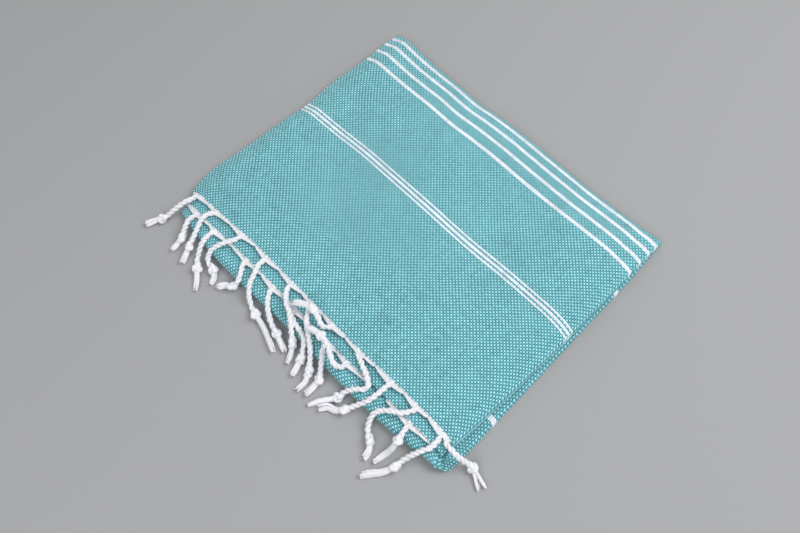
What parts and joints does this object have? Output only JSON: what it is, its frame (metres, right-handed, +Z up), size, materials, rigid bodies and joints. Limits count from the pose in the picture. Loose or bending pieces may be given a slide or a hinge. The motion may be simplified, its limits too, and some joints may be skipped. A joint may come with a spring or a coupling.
{
  "type": "folded fringed bath towel",
  "caption": "Flat-woven cotton bath towel with knotted fringes and white weft stripes, folded in half and then in three to lie flat.",
  "frame": {"origin": "bottom centre of the folded cloth, where it rests; the fringe's tassels are left out of the box", "axes": "+X along the weft stripes, from the selvedges to the rounded side folds; +Y from the fringed front to the long back fold; +Z up"},
  "size_m": [0.286, 0.2458, 0.0217],
  "materials": {
    "teal_cotton": "matte plain weave, teal weft over white warp, with white weft stripes",
    "white_cotton": "matte twisted cotton yarn"
  },
  "bodies": {
    "root": {"base_outer_ply": "teal_cotton", "base_inner_ply": "teal_cotton", "tucked_lower_ply": "teal_cotton", "tucked_upper_ply": "teal_cotton", "under_fringed_ply": "teal_cotton", "top_fringed_ply": "teal_cotton", "back_fold_outer": "teal_cotton", "back_fold_inner": "teal_cotton", "front_fold_outer": "teal_cotton", "front_fold_inner": "teal_cotton", "side_fold_top": "teal_cotton", "side_fold_tucked": "teal_cotton", "side_fold_base": "teal_cotton", "tassel_top_01": "white_cotton", "tassel_top_02": "white_cotton", "tassel_top_03": "white_cotton", "tassel_top_04": "white_cotton", "tassel_top_05": "white_cotton", "tassel_top_06": "white_cotton", "tassel_top_07": "white_cotton", "tassel_top_08": "white_cotton", "tassel_top_09": "white_cotton", "tassel_top_10": "white_cotton", "tassel_top_11": "white_cotton", "tassel_top_12": "white_cotton", "tassel_under_01": "white_cotton", "tassel_under_02": "white_cotton", "tassel_under_03": "white_cotton", "tassel_under_04": "white_cotton", "tassel_under_05": "white_cotton", "tassel_under_06": "white_cotton", "tassel_under_07": "white_cotton", "tassel_under_08": "white_cotton", "tassel_tucked_upper_01": "white_cotton", "tassel_tucked_upper_02": "white_cotton", "tassel_tucked_upper_03": "white_cotton", "tassel_tucked_upper_04": "white_cotton", "tassel_tucked_upper_05": "white_cotton", "tassel_tucked_upper_06": "white_cotton", "tassel_tucked_upper_07": "white_cotton", "tassel_tucked_upper_08": "white_cotton", "tassel_tucked_upper_09": "white_cotton", "tassel_tucked_upper_10": "white_cotton", "tassel_tucked_lower_01": "white_cotton", "tassel_tucked_lower_02": "white_cotton", "tassel_tucked_lower_03": "white_cotton", "tassel_tucked_lower_04": "white_cotton", "tassel_tucked_lower_05": "white_cotton", "tassel_tucked_lower_06": "white_cotton", "tassel_tucked_lower_07": "white_cotton", "tassel_tucked_lower_08": "white_cotton", "tassel_tucked_lower_09": "white_cotton", "tassel_tucked_lower_10": "white_cotton"}
  },
  "joints": []
}
